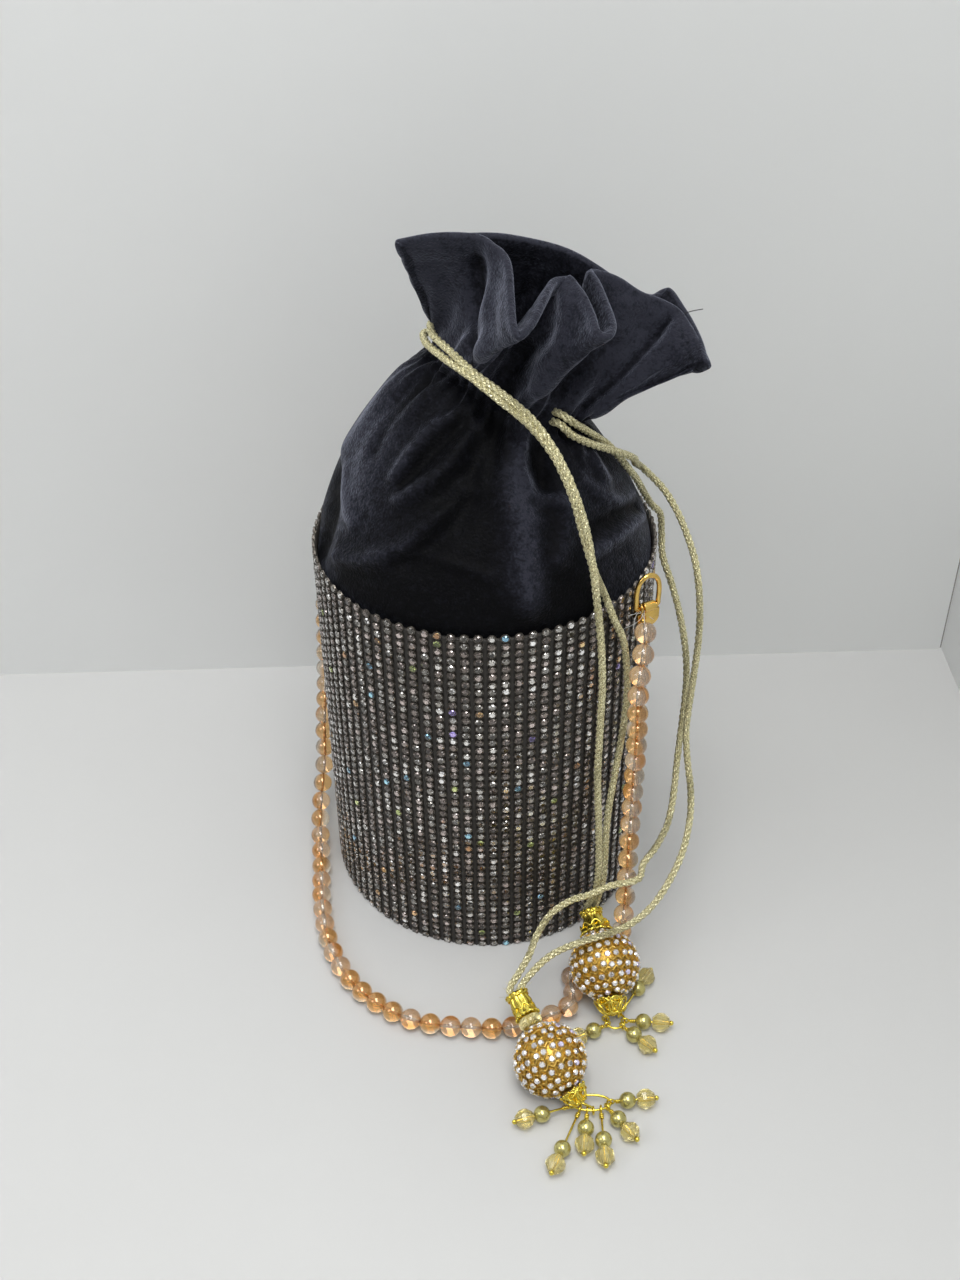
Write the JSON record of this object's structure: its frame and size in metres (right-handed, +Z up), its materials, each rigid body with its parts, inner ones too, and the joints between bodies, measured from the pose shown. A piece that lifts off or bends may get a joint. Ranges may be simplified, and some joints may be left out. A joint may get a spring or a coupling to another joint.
{
  "type": "potli bag",
  "caption": "Round drawstring potli bag: a stiff cylindrical body in rhinestone banding, a gathered velvet top, a glass bead handle and tasselled cords.",
  "frame": {"origin": "centre of the base's underside, on the floor", "axes": "+Z up; +X runs from the bag's axis through the side with the D-ring that shows, and the tassels lie on the -Y and +X side"},
  "size_m": [0.1917, 0.1982, 0.2721],
  "materials": {
    "board": "dark stiff board",
    "satin": "black satin lining",
    "stones": "clear stones in gunmetal cups on a dark net",
    "velvet": "black velvet with a slight navy sheen",
    "gold": "polished gold plating",
    "peach_glass": "clear glass half plated in peach",
    "metallic_cord": "braided champagne-gold metallic thread",
    "glitter": "amber glitter resin set with clear stones",
    "pearl": "olive-gold metallic pearl",
    "amber_glass": "faceted champagne crystal"
  },
  "bodies": {
    "bag": {"base_disc": "board", "board_tube": "board", "lining_bag": "satin", "rhinestone_banding": "stones", "velvet_top": "velvet", "ring_tab_right": "gold", "ring_tab_left": "gold", "bead_handle": "peach_glass", "tassel_a_ball": "glitter", "tassel_a_top_cap": "gold", "tassel_a_lower_cap": "gold", "tassel_a_link": "gold", "tassel_b_ball": "glitter", "tassel_b_spacer": "amber_glass", "tassel_b_top_cap": "gold", "tassel_b_lower_cap": "gold", "tassel_b_link": "gold", "cord_a_upper": "metallic_cord", "cord_a_lower": "metallic_cord", "cord_b_inner": "metallic_cord", "cord_b_outer": "metallic_cord"},
    "d_ring_right": {"d_ring_right": "gold"},
    "d_ring_left": {"d_ring_left": "gold"},
    "tassel_a_dangle_1": {"tassel_a_dangle_1_pin": "gold", "tassel_a_dangle_1_pearl": "pearl", "tassel_a_dangle_1_crystal": "amber_glass"},
    "tassel_a_dangle_2": {"tassel_a_dangle_2_pin": "gold", "tassel_a_dangle_2_pearl": "pearl", "tassel_a_dangle_2_crystal": "amber_glass"},
    "tassel_a_dangle_3": {"tassel_a_dangle_3_pin": "gold", "tassel_a_dangle_3_pearl": "pearl", "tassel_a_dangle_3_crystal": "amber_glass"},
    "tassel_a_dangle_4": {"tassel_a_dangle_4_pin": "gold", "tassel_a_dangle_4_pearl": "pearl", "tassel_a_dangle_4_crystal": "amber_glass"},
    "tassel_b_dangle_1": {"tassel_b_dangle_1_pin": "gold", "tassel_b_dangle_1_pearl": "pearl", "tassel_b_dangle_1_crystal": "amber_glass"},
    "tassel_b_dangle_2": {"tassel_b_dangle_2_pin": "gold", "tassel_b_dangle_2_pearl": "pearl", "tassel_b_dangle_2_crystal": "amber_glass"},
    "tassel_b_dangle_3": {"tassel_b_dangle_3_pin": "gold", "tassel_b_dangle_3_pearl": "pearl", "tassel_b_dangle_3_crystal": "amber_glass"},
    "tassel_b_dangle_4": {"tassel_b_dangle_4_pin": "gold", "tassel_b_dangle_4_pearl": "pearl", "tassel_b_dangle_4_crystal": "amber_glass"},
    "tassel_b_dangle_5": {"tassel_b_dangle_5_pin": "gold", "tassel_b_dangle_5_pearl": "pearl", "tassel_b_dangle_5_crystal": "amber_glass"},
    "tassel_b_dangle_6": {"tassel_b_dangle_6_pin": "gold", "tassel_b_dangle_6_pearl": "pearl", "tassel_b_dangle_6_crystal": "amber_glass"}
  },
  "joints": [
    {"name": "d_ring_right_hinge", "type": "hinge", "parent": "bag", "child": "d_ring_right", "pos_m": [0.06655, -0.00582, 0.148], "axis": [0.6157, 0.788, 0], "range_deg": [0, 75]},
    {"name": "d_ring_left_hinge", "type": "hinge", "parent": "bag", "child": "d_ring_left", "pos_m": [-0.0643, 0, 0.136], "axis": [0, -1, 0], "range_deg": [0, 75]},
    {"name": "tassel_a_dangle_1_hinge", "type": "hinge", "parent": "bag", "child": "tassel_a_dangle_1", "pos_m": [0.08898, -0.06322, 0.003], "axis": [0.996, -0.0898, 0], "range_deg": [0, 10]},
    {"name": "tassel_a_dangle_2_hinge", "type": "hinge", "parent": "bag", "child": "tassel_a_dangle_2", "pos_m": [0.09184, -0.06522, 0.003], "axis": [0.3763, -0.9265, 0], "range_deg": [0, 25]},
    {"name": "tassel_a_dangle_3_hinge", "type": "hinge", "parent": "bag", "child": "tassel_a_dangle_3", "pos_m": [0.09202, -0.06791, 0.003], "axis": [-0.3035, -0.9528, 0], "range_deg": [0, 25]},
    {"name": "tassel_a_dangle_4_hinge", "type": "hinge", "parent": "bag", "child": "tassel_a_dangle_4", "pos_m": [0.08669, -0.06985, 0.003], "axis": [-0.8323, 0.5544, 0], "range_deg": [0, 25]},
    {"name": "tassel_b_dangle_1_hinge", "type": "hinge", "parent": "bag", "child": "tassel_b_dangle_1", "pos_m": [0.09021, -0.10745, 0.003], "axis": [-0.7219, 0.692, 0], "range_deg": [0, 25]},
    {"name": "tassel_b_dangle_2_hinge", "type": "hinge", "parent": "bag", "child": "tassel_b_dangle_2", "pos_m": [0.09319, -0.1076, 0.003], "axis": [-0.9971, -0.0757, 0], "range_deg": [0, 25]},
    {"name": "tassel_b_dangle_3_hinge", "type": "hinge", "parent": "bag", "child": "tassel_b_dangle_3", "pos_m": [0.09557, -0.10689, 0.003], "axis": [-0.9328, -0.3604, 0], "range_deg": [0, 25]},
    {"name": "tassel_b_dangle_4_hinge", "type": "hinge", "parent": "bag", "child": "tassel_b_dangle_4", "pos_m": [0.09973, -0.10435, 0.003], "axis": [-0.8769, -0.4807, 0], "range_deg": [0, 25]},
    {"name": "tassel_b_dangle_5_hinge", "type": "hinge", "parent": "bag", "child": "tassel_b_dangle_5", "pos_m": [0.10134, -0.10248, 0.003], "axis": [-0.4532, -0.8914, 0], "range_deg": [0, 25]},
    {"name": "tassel_b_dangle_6_hinge", "type": "hinge", "parent": "bag", "child": "tassel_b_dangle_6", "pos_m": [0.10153, -0.09988, 0.003], "axis": [0.5248, -0.8513, 0], "range_deg": [0, 25]}
  ]
}
